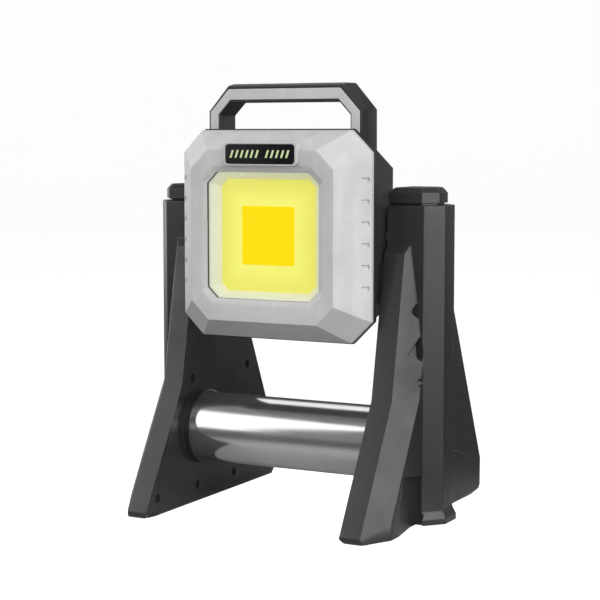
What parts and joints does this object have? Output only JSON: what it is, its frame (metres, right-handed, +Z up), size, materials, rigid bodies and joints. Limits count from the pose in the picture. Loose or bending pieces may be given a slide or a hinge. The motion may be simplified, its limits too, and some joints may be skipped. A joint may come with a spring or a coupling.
{
  "type": "work light",
  "caption": "Cordless work light: square tilting lamp head with a carry handle, hung between braced side stands joined by a chromed crossbar.",
  "frame": {"origin": "middle of the footprint, on the floor under the pads", "axes": "+X to the right seen from the lit front, +Y from the lit front to the back, +Z up"},
  "size_m": [0.23, 0.19, 0.3026],
  "materials": {
    "black_plastic": "fine-textured satin moulding",
    "inner_plastic": "plain moulding",
    "black_rubber": "matt rubber",
    "zinc_steel": "bright zinc plate",
    "bearing_bronze": "sintered bronze",
    "friction_fibre": "pressed fibre",
    "chromed_tube": "polished chrome plate",
    "grey_plastic": "fine-textured satin moulding",
    "clear_lens": "clear polished",
    "white_reflector": "gloss white",
    "light_board": "white solder mask under yellow light",
    "light_emitter": "yellow phosphor, lit",
    "sink_aluminium": "extruded, natural",
    "cell_can": "sleeved battery can; its density stands for a rolled lithium cell",
    "circuit_board": "green solder mask",
    "lead_insulation": "smooth insulation",
    "label_black": "gloss black plate",
    "label_print": "pale green print",
    "indicator_window": "frosted light guide"
  },
  "bodies": {
    "stand": {"left_outer_shell": "black_plastic", "right_outer_shell": "black_plastic", "left_inner_cover": "black_plastic", "right_inner_cover": "black_plastic", "left_cover_screws": "zinc_steel", "right_cover_screws": "zinc_steel", "left_top_cap": "black_plastic", "right_top_cap": "black_plastic", "left_foot_pads": "black_rubber", "right_foot_pads": "black_rubber", "left_tube_socket": "black_plastic", "right_tube_socket": "black_plastic", "left_pivot_bush": "bearing_bronze", "right_pivot_bush": "bearing_bronze", "crossbar_tube": "chromed_tube", "tube_plugs": "inner_plastic", "tube_screws": "zinc_steel"},
    "head": {"left_friction_washer": "friction_fibre", "right_friction_washer": "friction_fibre", "left_pivot_pin": "zinc_steel", "right_pivot_pin": "zinc_steel", "left_disc_spring": "zinc_steel", "right_disc_spring": "zinc_steel", "left_lock_nut": "zinc_steel", "right_lock_nut": "zinc_steel", "front_bezel": "grey_plastic", "lens_gasket": "black_rubber", "lens": "clear_lens", "reflector": "white_reflector", "cob_board": "light_board", "cob_emitter": "light_emitter", "board_screws": "zinc_steel", "heat_sink": "sink_aluminium", "sink_screws": "zinc_steel", "housing_seal": "black_rubber", "rear_housing": "black_plastic", "housing_screws": "zinc_steel", "handle_frame": "black_plastic", "handle_trim": "grey_plastic", "handle_screws": "zinc_steel", "label_plate": "label_black", "label_marks": "label_print", "battery_cells": "cell_can", "battery_cradle": "inner_plastic", "contact_plates": "zinc_steel", "driver_board": "circuit_board", "lead_wires": "lead_insulation", "switch_board": "circuit_board", "switch_screws": "zinc_steel", "charge_indicator": "indicator_window", "charge_board": "circuit_board", "charge_port": "zinc_steel", "flap_pin": "zinc_steel"},
    "button": {"power_button": "black_rubber"},
    "flap": {"port_cover": "black_rubber"}
  },
  "joints": [
    {"name": "head_tilt", "type": "hinge", "parent": "stand", "child": "head", "pos_m": [0, -0.01, 0.1982], "axis": [1, 0, 0], "continuous": true},
    {"name": "button_press", "type": "slide", "parent": "head", "child": "button", "axis": [0, -1, 0], "range_m": [0, 0.0012], "stiffness_N_per_m": 900, "springref_m": -0.001},
    {"name": "flap_swing", "type": "hinge", "parent": "head", "child": "flap", "pos_m": [0, 0.0064, 0.1682], "axis": [1, 0, 0], "range_deg": [0, 100]}
  ]
}
